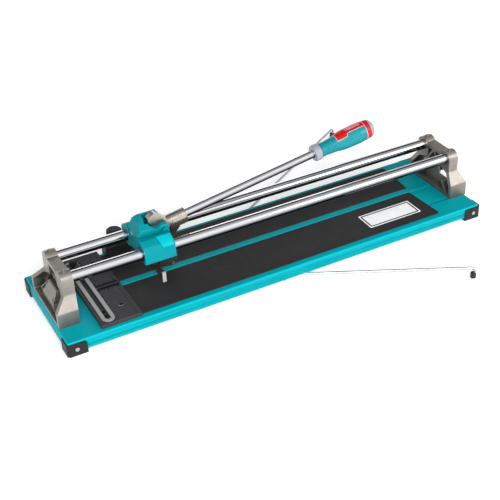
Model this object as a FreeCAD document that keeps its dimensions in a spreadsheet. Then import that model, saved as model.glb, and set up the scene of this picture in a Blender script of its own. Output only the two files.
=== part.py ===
import FreeCAD, Part
import math
import os
import re

from FreeCAD import Placement, Rotation, Vector

# Manual rail tile cutter. Millimetres, +X along the rails towards the handle's free end,
# +Y away from the user, +Z up. The origin is on the table under the middle of the ridge line.

SIZES = [
    ("base_length", 1000, "steel tray, along the cut"),
    ("base_width", 264, "steel tray, across the cut"),
    ("plate_top", 32, "height of the tray's top face"),
    ("flange_low", 7.4, "height of the folded flanges' lower edge"),
    ("sheet", 2, "tray sheet thickness"),
    ("fold_radius", 5, "outer radius of the tray's folds"),
    ("ridge_half", 8, "half width of the breaking ridge"),
    ("ridge_height", 4.5, "ridge above the tray"),
    ("pad_thickness", 3, "rubber bed pads"),
    ("rail_radius", 12, "outer radius of a rail"),
    ("rail_wall", 2, "rail tube wall"),
    ("rail_offset", 42, "rail axis from the cut line"),
    ("rail_height", 120, "rail axis above the table"),
    ("foot_depth", 44, "bracket foot, along X"),
    ("boss_depth", 24, "bracket rail boss, along X"),
    ("boss_radius", 18.5, "bracket rail boss"),
    ("web", 4, "wall between a bracket's outer and inner pockets"),
    ("left_foot", -497, "outer face of the left bracket's foot"),
    ("right_foot", 500, "outer face of the right bracket's foot"),
    ("left_boss", 25, "left rail boss, set back from the foot's outer face"),
    ("right_boss", 14, "right rail boss, set back from the foot's outer face"),
    ("fence_left", -423, "measuring fence, left edge"),
    ("fence_right", -336, "measuring fence, right edge, where a tile's edge rests"),
    ("fence_top", 41.5, "height of the fence"),
    ("bar_top", 43, "height of the slotted bar on the fence"),
    ("slot_centre", -402.5, "centre line of the bar's slot"),
    ("slot_half", 5.5, "half width of the bar's slot"),
    ("pivot_x", -233, "lever pivot at rest"),
    ("pivot_z", 148, "lever pivot height"),
    ("pin_radius", 4, "lever pivot pin"),
    ("running_gap", 0.06, "radial clearance of a shaft that turns or slides"),
    ("sleeve_radius", 16, "linear bearing, outer radius"),
    ("slot_reach", 44.8, "radius about the pin that the lever head sweeps, with room"),
    ("slot_gap", 13.2, "half width of the carriage's lever slot"),
    ("head_half", 12.5, "half width of the lever head"),
    ("socket_radius", 14, "lever socket"),
    ("shaft_radius", 9, "handle tube"),
    ("handle_tilt", 9.2, "handle's slope at rest, degrees"),
    ("arm_half", 7, "half width of the wheel arm"),
    ("wheel_radius", 11, "cutting wheel, 22 mm across"),
    ("wheel_half", 1, "half of the wheel's 2 mm thickness"),
    ("axle_radius", 3, "6 mm axles of the wheel and the breaker"),
    ("wire_radius", 3, "support arm wire"),
    ("wire_height", 3.6, "wire axis where it passes under the flange"),
    ("wire_rise", 25, "wire axis at the arm's free end"),
]

doc = FreeCAD.newDocument("tile_cutter")
sheet = doc.addObject("Spreadsheet::Sheet", "sizes")
for row, (alias, amount, note) in enumerate(SIZES, start=1):
    sheet.set(f"A{row}", note)
    sheet.set(f"B{row}", str(amount))
    sheet.setAlias(f"B{row}", alias)
doc.recompute()

nodes = []


# ---------------------------------------------------------------- helpers

def text(amount):
    """An expression's text, from a number or from text that names sheet cells."""
    return amount if isinstance(amount, str) else f"{amount:.4f}"


def bound(expression):
    """The expression with every alias prefixed by the sheet's name."""
    return re.sub(r"[a-z][a-z_]*", lambda word: "sizes." + word.group(), text(expression))


def size(expression):
    """The number that an expression of sheet cells gives."""
    return float(sheet.evalExpression(bound(expression)))


def node(solid, label):
    """Give a finished sub-part its Label and put it on the list of files to write."""
    solid.Label = label
    nodes.append(solid)
    return solid


def corner(before, point, after):
    """The two tangent points and the middle of the arc that rounds a corner."""
    tip = Vector(point[0], point[1], 0)
    back = (Vector(before[0], before[1], 0) - tip).normalize()
    ahead = (Vector(after[0], after[1], 0) - tip).normalize()
    half = back.getAngle(ahead) / 2
    reach = point[2] / math.tan(half)
    inward = (back + ahead).normalize()
    middle = tip + inward * (point[2] / math.sin(half) - point[2])
    return tip + back * reach, middle, tip + ahead * reach


def trace(points, closed):
    """Lines and tangent arcs through (u, v) or (u, v, radius) points."""
    count = len(points)
    edges = []
    ends = []
    for i, point in enumerate(points):
        inner = closed or 0 < i < count - 1
        if len(point) == 3 and inner:
            start, middle, end = corner(points[i - 1], point, points[(i + 1) % count])
            edges.append((i, Part.Arc(start, middle, end)))
            ends.append((start, end))
        else:
            tip = Vector(point[0], point[1], 0)
            ends.append((tip, tip))
    for i in range(count if closed else count - 1):
        start = ends[i][1]
        end = ends[(i + 1) % count][0]
        if start.distanceToPoint(end) > 1e-6:
            edges.append((i + 0.5, Part.LineSegment(start, end)))
    return [edge for _, edge in sorted(edges, key=lambda pair: pair[0])]


def outline(*points):
    """A closed sketch outline; a third number rounds that corner."""
    return trace(points, closed=True)


def circle(u, v, radius):
    """A round hole in a sketch."""
    return [Part.Circle(Vector(u, v, 0), Vector(0, 0, 1), radius)]


def stadium(u, v_low, v_high, half):
    """A slot outline with round ends, along v."""
    return outline((u - half, v_low, half * 0.999), (u + half, v_low, half * 0.999),
                   (u + half, v_high, half * 0.999), (u - half, v_high, half * 0.999))


def sketch_on(body, role, geometry):
    """A sketch on one of the body's own origin planes."""
    plane = next(item for item in body.Origin.OriginFeatures if item.Role == role)
    sketch = body.newObject("Sketcher::SketchObject", body.Name + "_sketch")
    sketch.AttachmentSupport = [(plane, "")]
    sketch.MapMode = "FlatFace"
    sketch.addGeometry(geometry, False)
    return sketch


def slab(name, axis, geometry, low, high):
    """A PartDesign body: an outline padded along X, Y or Z from low to high."""
    role = {"X": "YZ_Plane", "Y": "XZ_Plane", "Z": "XY_Plane"}[axis]
    body = doc.addObject("PartDesign::Body", name)
    sketch = sketch_on(body, role, geometry)
    start = f"-({text(high)})" if axis == "Y" else text(low)
    sketch.setExpression(".AttachmentOffset.Base.z", bound(start))
    pad = body.newObject("PartDesign::Pad", name + "_pad")
    pad.Profile = sketch
    pad.setExpression("Length", bound(f"({text(high)}) - ({text(low)})"))
    body.Tip = pad
    return body


def turned(name, geometry, angle=360):
    """A PartDesign body: an outline of (x, radius) turned about the X axis."""
    body = doc.addObject("PartDesign::Body", name)
    sketch = sketch_on(body, "XZ_Plane", geometry)
    turn = body.newObject("PartDesign::Revolution", name + "_turn")
    turn.Profile = sketch
    turn.ReferenceAxis = (sketch, ["H_Axis"])
    turn.Midplane = True
    turn.Angle = angle
    body.Tip = turn
    return body


def box(name, x, y, z):
    """A box from (low, high) pairs of numbers or expressions."""
    solid = doc.addObject("Part::Box", name)
    for side, place, (low, high) in zip(("Length", "Width", "Height"), "xyz", (x, y, z)):
        solid.setExpression(side, bound(f"({text(high)}) - ({text(low)})"))
        solid.setExpression(f"Placement.Base.{place}", bound(low))
    return solid


def rod(name, axis, centre, radius, low, high):
    """A cylinder along an axis; centre holds its other two coordinates, in X, Y, Z order."""
    turn = {"X": Rotation(Vector(0, 1, 0), 90), "Y": Rotation(Vector(1, 0, 0), -90), "Z": Rotation()}
    solid = doc.addObject("Part::Cylinder", name)
    solid.Placement = Placement(Vector(), turn[axis])
    solid.setExpression("Radius", bound(radius))
    solid.setExpression("Height", bound(f"({text(high)}) - ({text(low)})"))
    base = list(centre)
    base.insert("XYZ".index(axis), low)
    for place, amount in zip("xyz", base):
        solid.setExpression(f"Placement.Base.{place}", bound(amount))
    return solid


def fuse(name, *solids):
    """One solid, or a group of them, from several."""
    whole = doc.addObject("Part::MultiFuse", name)
    whole.Shapes = list(solids)
    return whole


def cut(name, base, *tools):
    """The base with every tool taken away."""
    whole = doc.addObject("Part::Cut", name)
    whole.Base = base
    whole.Tool = tools[0] if len(tools) == 1 else fuse(name + "_tools", *tools)
    return whole


def common(name, first, second):
    """What two solids share."""
    whole = doc.addObject("Part::Common", name)
    whole.Base = first
    whole.Tool = second
    return whole


def rounded(name, base, radius, pick):
    """The base with a fillet on each edge that pick accepts."""
    doc.recompute()
    solid = doc.addObject("Part::Fillet", name)
    solid.Base = base
    amount = size(radius)
    chosen = [i for i, edge in enumerate(base.Shape.Edges, start=1) if pick(edge)]
    solid.Edges = [(i, amount, amount) for i in chosen]
    return solid


# ---------------------------------------------------------------- base

BRACKETS = {"left": 1, "right": -1}     # direction from the foot's outer face inwards
SCREW_INSETS = (12, 32)                 # bracket screws, from the foot's outer face
SCREW_OFFSET = 75                       # bracket screws, from the cut line
CAP_SCREW_X = 482
CAP_SCREW_Z = 16


def bracket_screw_places():
    """The X, Y of every screw that holds a bracket down."""
    for side, inward in BRACKETS.items():
        for inset in SCREW_INSETS:
            for y in (-SCREW_OFFSET, SCREW_OFFSET):
                yield size(f"{side}_foot") + inward * inset, y


def build_base_plate():
    """The tray: a folded steel sheet, open underneath."""
    half = "base_length / 2"
    wide = "base_width / 2"
    block = box("tray_block", (f"-{half}", half), (f"-{wide}", wide), ("flange_low", "plate_top"))
    low = size("flange_low")
    outer = rounded("tray_outer", block, "fold_radius", lambda edge: edge.CenterOfMass.z > low + 1)
    hollow = box("tray_hollow_block", (f"sheet - {half}", f"{half} - sheet"),
                 (f"sheet - {wide}", f"{wide} - sheet"), ("flange_low - 5", "plate_top - sheet"))
    inner = rounded("tray_inner", hollow, "fold_radius - sheet", lambda edge: edge.CenterOfMass.z > low)
    holes = [rod("bracket_screw_hole", "Z", place, 3.1, 20, 40) for place in bracket_screw_places()]
    for x in (-CAP_SCREW_X, CAP_SCREW_X):
        holes.append(rod("cap_screw_hole", "Y", (x, CAP_SCREW_Z), 2.1, -140, 140))
    node(cut("tray", outer, inner, *holes), "base_plate")


def build_bed():
    """The ridge, its stiffener and the two rubber pads."""
    half = size("ridge_half")
    top = size("plate_top + ridge_height")
    ridge = outline((-half, 32), (-half, top - 1.5), (1.5 - half, top, 1.5),
                    (half - 1.5, top, 1.5), (half, top - 1.5), (half, 32))
    node(slab("ridge", "X", ridge, "fence_right + 2", "right_foot - foot_depth - 2"), "breaking_ridge")
    hat = outline((-46, 30), (-46, 28), (-26, 28), (-26, 12, 3), (26, 12, 3), (26, 28), (46, 28),
                  (46, 30), (24, 30), (24, 14), (-24, 14), (-24, 30))
    node(slab("stiffener", "X", hat, -430, 430), "base_stiffener")
    left = size("fence_right") + 0.5
    near = outline((left, -116.5), (398, -116.5, 3), (392, -8.4, 8), (left, -8.4))
    rear = outline((left, 8.4), (398, 8.4, 3), (406, 118, 8), (left, 118))
    for name, shape in (("near_pad", near), ("rear_pad", rear)):
        node(slab(name, "Z", shape, "plate_top", "plate_top + pad_thickness"), name)


def build_corner_caps():
    """Moulded corners that wrap the flanges and stand under them as feet."""
    heads = []
    for side, x in (("left", -1), ("right", 1)):
        for depth, y in (("front", -1), ("rear", 1)):
            name = f"corner_cap_{depth}_{side}"
            spans = [sorted((x * 502.5, x * 460)), sorted((y * 134.5, y * 99))]
            block = box(name + "_block", *spans, (0, 29))
            outer = rounded(name + "_outer", block, 7, lambda edge, x=x, y=y: (
                abs(edge.CenterOfMass.x - x * 502.5) < 0.1 and abs(edge.CenterOfMass.y - y * 134.5) < 0.1))
            hollow_spans = [sorted((x * 500.1, x * 450)), sorted((y * 132.1, y * 90))]
            hollow_block = box(name + "_hollow", *hollow_spans, ("flange_low", 40))
            hollow = rounded(name + "_inner", hollow_block, 5, lambda edge, x=x, y=y: (
                abs(edge.CenterOfMass.x - x * 500.1) < 0.1 and abs(edge.CenterOfMass.y - y * 132.1) < 0.1))
            hole = rod(name + "_hole", "Y", (x * CAP_SCREW_X, CAP_SCREW_Z), 2.1, *sorted((y * 125, y * 140)))
            shell = cut(name + "_shell", outer, hollow, hole)
            node(rounded(name, shell, 6, lambda edge: (
                abs(edge.CenterOfMass.z - 29) < 0.1 and edge.Length < 3)), name)
            heads.append(cap_screw(f"cap_screw_{depth}_{side}", x * CAP_SCREW_X, y))
    node(fuse("cap_screw_group", *heads), "cap_screws")


def cap_screw(name, x, side):
    """A cross-head screw whose head bears on a corner cap's long side."""
    head = rod(name + "_head", "Y", (x, CAP_SCREW_Z), 4.2, *sorted((side * 134.5, side * 136.7)))
    shank = rod(name + "_shank", "Y", (x, CAP_SCREW_Z), 2, *sorted((side * 127, side * 135)))
    span = sorted((side * 135.6, side * 138))
    upright = box(name + "_slot", (x - 0.5, x + 0.5), span, (CAP_SCREW_Z - 2.6, CAP_SCREW_Z + 2.6))
    level = box(name + "_cross", (x - 2.6, x + 2.6), span, (CAP_SCREW_Z - 0.5, CAP_SCREW_Z + 0.5))
    return cut(name, fuse(name + "_body", head, shank), upright, level)


# ---------------------------------------------------------------- rails

def build_bracket(side):
    """One cast bracket: a wide foot, sloped shoulders and two bosses that hold the rails."""
    inward = BRACKETS[side]
    foot = size(f"{side}_foot")
    setback = size(f"{side}_boss")
    depth = size("foot_depth")
    reach = setback + size("boss_depth")
    web_outer = setback + 10
    web_inner = web_outer + size("web")
    name = side + "_bracket"

    def along(*points):
        """Profile points (inward distance, z, radius) turned into X, Z points."""
        return outline(*[(foot + inward * point[0], *point[1:]) for point in points])

    def span(start, end):
        return sorted((foot + inward * start, foot + inward * end))

    face = outline((-80, 32), (-80, 66, 5), (-60.5, 93, 8), (-60.5, 120), (-44, 131), (44, 131),
                   (60.5, 120), (60.5, 93, 8), (80, 66, 5), (80, 32))
    profile = along((0, 32), (0, 66, 5), (setback, 92, 6), (setback, 140), (reach, 140),
                    (reach, 92, 6), (depth, 66, 5), (depth, 32))
    envelope = common(name + "_envelope", slab(name + "_face", "X", face, *span(0, 60)),
                      slab(name + "_profile", "Y", profile, -90, 90))
    window = outline((-71, 40, 3), (-71, 62, 3), (-53, 87, 4), (-21, 97, 3), (-21, 122, 3),
                     (21, 122, 3), (21, 97, 3), (53, 87, 4), (71, 62, 3), (71, 40, 3))
    outer_side = along((-5, 20), (23, 20), (23, 64), (web_outer, 92), (web_outer, 140), (-5, 140))
    inner_side = along((27, 20), (27, 64), (web_inner, 92), (web_inner, 140), (60, 140), (60, 20))
    pockets = []
    for number, region in enumerate((outer_side, inner_side)):
        pocket = slab(f"{name}_pocket_{number}", "X", window, *span(-6, 61))
        pockets.append(common(f"{name}_hollow_{number}", pocket,
                              slab(f"{name}_side_{number}", "Y", region, -90, 90)))
    ribs = []
    for hand in (-1, 1):
        shape = outline((hand * -3, 124), (hand * 3, 124), (hand * 66, 38), (hand * 59, 38))
        bar = slab(f"{name}_rib_bar_{hand + 1}", "X", shape, *span(web_outer + 1, 60))
        ribs.append(common(f"{name}_rib_{hand + 1}", bar, envelope))
    solids = [cut(name + "_shell", envelope, *pockets), *ribs]
    if side == "left":
        plaque = outline((-44, 44, 3), (44, 44, 3), (24, 84, 3), (-24, 84, 3))
        plaque_side = along((8, 30), (8, 64), (web_outer - 6, 92), (web_outer + 1, 92), (24, 64), (24, 30))
        solids.append(common(name + "_panel", slab(name + "_plaque", "X", plaque, *span(-6, 61)),
                             slab(name + "_plaque_side", "Y", plaque_side, -90, 90)))
    screw_x = foot + inward * (setback + 12)
    for y in ("-rail_offset", "rail_offset"):
        solids.append(rod(name + "_boss", "X", (y, "rail_height"), "boss_radius", *span(setback, reach)))
        solids.append(rod(name + "_lug", "Z", (screw_x, y), 5.5, 134, 139.6))
    body = fuse(name + "_body", *solids)
    openings = []
    near = 25 if side == "left" else 13
    for hand in (-1, 1):
        arch = outline((hand * near, 63, 3), (hand * near, 88, 6), (hand * 47, 81, 5), (hand * 54, 63, 3))
        openings.append(slab(f"{name}_arch_{hand + 1}", "X", arch, *span(-6, 61)))
    for y in ("-rail_offset", "rail_offset"):
        openings.append(rod(name + "_socket", "X", (y, "rail_height"), "rail_radius + 0.05",
                            *span(setback + 2.5, 70)))
        openings.append(rod(name + "_tapping", "Z", (screw_x, y), 3.05, 131, 145))
    for inset in SCREW_INSETS:
        for y in (-SCREW_OFFSET, SCREW_OFFSET):
            openings.append(rod(name + "_screw_hole", "Z", (foot + inward * inset, y), 3, 30, 49))
    node(cut(name, body, *openings), name)


def build_rails():
    """The two chrome tubes, in the sockets of both brackets."""
    start = "left_foot + left_boss + 3"
    end = "right_foot - right_boss - 3"
    for name, y in (("front_rail", "-rail_offset"), ("rear_rail", "rail_offset")):
        tube = rod(name + "_tube", "X", (y, "rail_height"), "rail_radius", start, end)
        bore = rod(name + "_bore", "X", (y, "rail_height"), "rail_radius - rail_wall", -520, 520)
        node(cut(name, tube, bore), name)


def hexagon_key(name, x, y, z_low, z_high, radius):
    """A hexagonal recess for a key, along Z."""
    points = [(x + radius * math.cos(math.radians(60 * i)), y + radius * math.sin(math.radians(60 * i)))
              for i in range(6)]
    return slab(name, "Z", outline(*points), z_low, z_high)


def build_rail_fasteners():
    """Set screws on the bosses and the screws that hold the brackets down."""
    set_screws = []
    for side, inward in BRACKETS.items():
        x = size(f"{side}_foot + {side}_boss * {inward}") + inward * 12
        for y in (-1, 1):
            place = y * size("rail_offset")
            screw = rod("set_screw_body", "Z", (x, place), 3, 132.1, 140.6)
            set_screws.append(cut("set_screw", screw, hexagon_key("set_screw_key", x, place, 138, 142, 1.7)))
    node(fuse("set_screws", *set_screws), "rail_set_screws")
    bolts = []
    for x, y in bracket_screw_places():
        head = rod("bracket_screw_head", "Z", (x, y), 5.5, 26.5, 30)
        bolts.append(fuse("bracket_screw", head, rod("bracket_screw_shank", "Z", (x, y), 2.95, 29, 48)))
    node(fuse("bracket_bolts", *bolts), "bracket_screws")


# ---------------------------------------------------------------- fence and stops

FENCE_SCREWS = ((-363, -75), (-361, 93))
BAR_SCREWS = ((-402.5, -77), (-402.5, -92))
STOP_Y = 96
EDGE_KNOB = (-295, 120)


def build_fence():
    """The measuring fence with its slotted bar and screws."""
    left = size("fence_left")
    right = size("fence_right")
    shape = outline((left, -122, 2), (right, -122, 2), (right, 131, 2), (left, 131, 2))
    plate = slab("fence_blank", "Z", shape, "plate_top", "fence_top")
    notch = slab("fence_notch", "Z", outline((-384, -4, 3.9), (-330, -4), (-330, 4), (-384, 4, 3.9)), 20, 60)
    groove = slab("fence_groove", "Z", stadium(size("slot_centre"), -110, 112, size("slot_half")), 36.5, 60)
    holes = [rod("fence_screw_hole", "Z", place, 2.55, 33, 60) for place in FENCE_SCREWS]
    holes += [rod("fence_counterbore", "Z", place, 5.4, 36.5, 60) for place in FENCE_SCREWS]
    holes += [rod("bar_screw_hole", "Z", place, 1.55, 33, 60) for place in BAR_SCREWS]
    node(cut("fence", plate, notch, groove, *holes), "fence_plate")
    slot = size("slot_centre")
    ring = stadium(slot, -118, 120, 13.5) + stadium(slot, -110, 112, size("slot_half"))
    node(slab("bar", "Z", ring, "fence_top", "bar_top"), "fence_bar")
    screws = []
    for x, y in FENCE_SCREWS:
        head = rounded("fence_screw_head", rod("fence_screw_disc", "Z", (x, y), 4.7, 36.5, 40.6), 0.6,
                       lambda edge: edge.CenterOfMass.z > 40)
        body = fuse("fence_screw_body", head, rod("fence_screw_shank", "Z", (x, y), 2.5, 33.5, 37))
        screws.append(cut("fence_screw", body, hexagon_key("fence_screw_key", x, y, 38, 46, 2.6)))
    node(fuse("fence_screw_pair", *screws), "fence_screws")
    small = []
    for x, y in BAR_SCREWS:
        head = rod("bar_screw_head", "Z", (x, y), 3.2, 36.5, 41)
        body = fuse("bar_screw_body", head, rod("bar_screw_shank", "Z", (x, y), 1.5, 33.2, 37))
        small.append(cut("bar_screw", body, hexagon_key("bar_screw_key", x, y, 39.5, 42, 1.5)))
    node(fuse("bar_screw_pair", *small), "bar_screws")


def build_fence_stop():
    """The stop that slides in the bar's slot, and its knob."""
    x = size("slot_centre")
    slider = box("stop_slider", (x - 5.2, x + 5.2), (STOP_Y - 11, STOP_Y + 11), (36.8, "bar_top + 1"))
    plate = slab("stop_plate", "Z", outline((x - 11.5, STOP_Y - 12, 2), (x + 11.5, STOP_Y - 12, 2),
                                            (x + 11.5, STOP_Y + 12, 2), (x - 11.5, STOP_Y + 12, 2)),
                 "bar_top + 0.3", "bar_top + 3.3")
    hole = rod("stop_hole", "Z", (x, STOP_Y), "2.5 + running_gap", 38, 60)
    node(cut("stop", fuse("stop_body", slider, plate), hole), "fence_stop")
    clamp = knob("fence_knob", x, STOP_Y, radius=8, lobes=5, low=50, high=61, stud=2.5, stud_low=39)
    node(clamp, "fence_stop_knob")


def knob(name, x, y, radius, lobes, low, high, stud, stud_low):
    """A scalloped clamp knob on a threaded stud."""
    disc = rounded(name + "_disc", rod(name + "_blank", "Z", (x, y), radius, low, high), radius * 0.12,
                   lambda edge: edge.Length > radius * 6)
    tools = []
    scallop = radius * (1.6 / lobes + 0.06)
    for i in range(lobes):
        turn = 2 * math.pi * (i + 0.5) / lobes
        place = (x + radius * 1.13 * math.cos(turn), y + radius * 1.13 * math.sin(turn))
        tools.append(rod(name + "_scallop", "Z", place, scallop, low - 2, high + 2))
    grip = cut(name + "_grip", disc, *tools)
    collar = rod(name + "_collar", "Z", (x, y), radius * 0.45, low - 3.2, low + 1)
    return fuse(name, grip, collar, rod(name + "_stud", "Z", (x, y), stud, stud_low, low))


def build_edge_stop():
    """The stop clamped over the tray's rear edge."""
    x, y = EDGE_KNOB
    shape = outline((108, 35.4), (108, 54, 5), (114, 66, 6), (128, 66, 6), (136.6, 54, 5), (136.6, 14, 1.5),
                    (132.5, 14), (132.5, 35.4))
    blank = slab("edge_block", "X", shape, x - 27, x + 31)
    hole = rod("edge_hole", "Z", (x, y), "4 + running_gap", 45, 80)
    node(cut("edge_stop_cut", blank, hole), "edge_stop")
    clamp = knob("edge_knob", x, y, radius=17, lobes=8, low=71, high=90, stud=4, stud_low=46)
    node(clamp, "edge_stop_knob")


# ---------------------------------------------------------------- support arms

ARMS = {
    # side of the cut line, pivot, heading in degrees, reach from the pivot, stop stud
    "front": (-1, (12, -112), -32.5, 395, (-11, -123)),
    "rear": (1, (-29, 112), 30.4, 529, (-52, 123)),
}


def build_arm(name):
    """A bent wire that turns about its upright leg, with a rubber foot."""
    side, (x, y), heading, reach, stud = ARMS[name]
    low = size("wire_height")
    high = size("wire_rise")
    path = trace([(0, 29), (0, low, 8), (44, low, 60), (reach, high, 9), (reach - 10, 3)], closed=False)
    wire = Part.Wire([edge.toShape() for edge in path])
    wire.rotate(Vector(), Vector(1, 0, 0), 90)
    ring = Part.Wire(Part.makeCircle(size("wire_radius"), Vector(0, 0, 29), Vector(0, 0, 1)))
    place = Placement(Vector(x, y, 0), Rotation(Vector(0, 0, 1), heading))
    arm = doc.addObject("Part::Feature", name + "_arm_wire")
    arm.Shape = wire.makePipeShell([ring], True, False)
    arm.Placement = place
    node(arm, name + "_arm")
    end = place.multVec(Vector(reach - 9, 0, 0))
    boot = rounded(name + "_boot_blank", rod(name + "_boot_rod", "Z", (end.x, end.y), 6.2, 0, 13), 1.5,
                   lambda edge: edge.Length > 30)
    node(cut(name + "_boot", boot, arm), name + "_arm_foot")
    block = box(name + "_socket_block", (x - 11, x + 11), (y - 11, y + 11), (12.6, "plate_top - sheet"))
    bore = rod(name + "_socket_bore", "Z", (x, y), "wire_radius + running_gap", 10, 29.4)
    post = rod(name + "_stop_post", "Z", stud, 4, 0.9, "plate_top - sheet")
    return cut(name + "_socket", block, bore), post


def build_arms():
    """Both arms, with their pivot sockets and the studs that stop them."""
    sockets, posts = zip(*[build_arm(name) for name in ARMS])
    node(fuse("socket_pair", *sockets), "arm_sockets")
    node(fuse("post_pair", *posts), "arm_stops")


# ---------------------------------------------------------------- carriage

HOUSING = (-63, 5)      # bearing housings, along X from the pivot
LOBE = (-18, 25)        # centre of the lever head's rear lobe, from the pivot
LOBE_RADIUS = 12.5
LOBE_REACH = 41         # how far the lobe stands out from the pivot


def at_pivot(*points):
    """Outline points (dx, dz, radius) measured from the lever pivot."""
    x = size("pivot_x")
    z = size("pivot_z")
    return outline(*[(x + point[0], z + point[1], *point[2:]) for point in points])


def from_pivot(dx, dz):
    """The X, Z of a place measured from the lever pivot."""
    return f"pivot_x + ({text(dx)})", f"pivot_z + ({text(dz)})"


def build_carriage_body():
    """The casting: two bearing housings, a hood and two cheeks that hold the lever's pin."""
    start = f"pivot_x + ({HOUSING[0]})"
    end = f"pivot_x + {HOUSING[1]}"
    near = outline((-62.5, 103, 3), (-62.5, 133, 2), (-55.5, 141, 2), (-41, 148, 5),
                   (-22, 148), (-22, 103, 3))
    rear = outline((62.5, 103, 3), (62.5, 133, 2), (55.5, 141, 2), (41, 148, 5),
                   (22, 148), (22, 103, 3))
    section = outline((-26, 105), (-26, 161, 4), (-12, 169, 6), (8, 177.5, 8), (20, 176.5, 6), (26, 168, 5),
                      (26, 105))
    near_profile = at_pivot((-61, -43, 4), (-61, 2, 12), (-50, 22, 12), (-38, 29.5, 6), (-16, 29.5, 6),
                            (-10, 14.5, 6), (6, 14.5, 5), (9, 8, 3), (9, -36, 3), (-17, -43))
    rear_profile = at_pivot((-61, -43, 4), (-61, 2, 12), (-50, 22, 12), (-38, 29.5, 6), (-3, 29.5, 5),
                            (3, 16, 5), (6, 16, 2), (9, 8, 3), (9, -36, 3), (-17, -43))
    hood = common("hood", slab("hood_section", "X", section, "pivot_x - 70", "pivot_x + 20"),
                  fuse("hood_profiles", slab("hood_near", "Y", near_profile, -30, "slot_gap"),
                       slab("hood_rear", "Y", rear_profile, "slot_gap", 30)))
    bosses = rod("pin_boss", "Y", from_pivot(0, 0), 8.5, -29, 29)
    body = fuse("carriage_blank", slab("near_housing", "X", near, start, end),
                slab("rear_housing", "X", rear, start, end), hood, bosses)
    tools = [
        box("lever_slot", ("pivot_x - 37", "pivot_x + 30"), ("-slot_gap", "slot_gap"), (137, 200)),
        common("lever_sweep", rod("sweep", "Y", from_pivot(0, 0), "slot_reach", "-slot_gap", "slot_gap"),
               box("sweep_floor", ("pivot_x - 50", "pivot_x"), (-20, 20), (137, 200))),
        box("arm_slot", ("pivot_x - 17", "pivot_x + 30"), ("-slot_gap", "slot_gap"), (90, 140)),
        rod("saddle", "Y", from_pivot(*LOBE), LOBE_RADIUS + 2.5, -35, -13),
        rod("pin_hole", "Y", from_pivot(0, 0), "pin_radius + 0.02", -25.5, 40),
        rod("clip_recess", "Y", from_pivot(0, 0), 8.6, 29, 36),
    ]
    for y in ("-rail_offset", "rail_offset"):
        tools.append(rod("housing_bore", "X", (y, "rail_height"), "sleeve_radius", -400, 0))
    node(cut("carriage_casting", body, *tools), "carriage_body")


def build_bearings():
    """Linear ball bearings on the rails, with end seals."""
    seals = []
    start = size("pivot_x") + HOUSING[0]
    end = size("pivot_x") + HOUSING[1]
    for name, side in (("front", -1), ("rear", 1)):
        y = side * size("rail_offset")
        z = size("rail_height")
        sleeve = rod(name + "_sleeve", "X", (y, z), "sleeve_radius - 0.05", start + 3.2, end - 3.2)
        bore = rod(name + "_sleeve_bore", "X", (y, z), "rail_radius + running_gap", start - 5, end + 5)
        tracks = []
        balls = []
        for i in range(5):
            angle = 90 + 72 * i
            turn = Placement(Vector(0, y, z), Rotation(Vector(1, 0, 0), angle))
            track = doc.addObject("Part::Box", name + "_track")
            track.Length, track.Width, track.Height = 46, 3.5, 3.5
            track.Placement = turn.multiply(Placement(Vector(start + 11, -1.75, 12), Rotation()))
            tracks.append(track)
            for step in range(5):
                ball = doc.addObject("Part::Sphere", name + "_ball")
                ball.Radius = 1.6
                place = Placement(Vector(start + 17 + 8.5 * step, 0, 13.72), Rotation())
                ball.Placement = turn.multiply(place)
                balls.append(ball)
        node(cut(name + "_bearing_cut", sleeve, bore, *tracks), name + "_bearing")
        node(fuse(name + "_ball_group", *balls), name + "_balls")
        for low, high in ((start - 0.6, start + 3), (end - 3, end + 0.6)):
            ring = rod("seal_ring", "X", (y, z), "sleeve_radius - 0.05", low, high)
            opening = rod("seal_opening", "X", (y, z), "rail_radius + running_gap", low - 1, high + 1)
            seals.append(cut("seal", ring, opening))
    node(fuse("seal_group", *seals), "bearing_seals")


def build_pivot():
    """The lever's pin and the ring that keeps it in."""
    pin = rod("pin_body", "Y", from_pivot(0, 0), "pin_radius", -25.4, 33)
    groove = cut("pin_groove", rod("groove_outer", "Y", from_pivot(0, 0), 6, 29.3, 30.5),
                 rod("groove_inner", "Y", from_pivot(0, 0), 3.2, 29, 31))
    node(cut("pin", pin, groove), "pivot_pin")
    ring = rod("clip_ring", "Y", from_pivot(0, 0), 7.5, 29.35, 30.45)
    node(cut("clip", ring, rod("clip_bore", "Y", from_pivot(0, 0), 3.25, 29, 31)), "pivot_clip")


# ---------------------------------------------------------------- lever

ARM_SCREWS = ((35, -3.6), (35, 3.6))    # along X from the pivot, and Y
SOCKET = (11, 57)                       # lever socket, along the handle from the pivot
WHEEL = (18, -98)                       # wheel axle, from the pivot
HINGE = (-24, -74)                      # breaker pin, from the pivot


def handle_place(distance=0.0):
    """The placement of a point on the handle's axis, with X along the handle."""
    turn = Rotation(Vector(0, 1, 0), -size("handle_tilt"))
    pivot = Vector(size("pivot_x"), 0, size("pivot_z"))
    return Placement(pivot + turn.multVec(Vector(distance, 0, 0)), turn)


def along_handle(name, radius, start, end):
    """A cylinder on the handle's axis."""
    solid = doc.addObject("Part::Cylinder", name)
    solid.setExpression("Radius", bound(radius))
    solid.Height = end - start
    solid.Placement = handle_place(start).multiply(Placement(Vector(), Rotation(Vector(0, 1, 0), 90)))
    return solid


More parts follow.
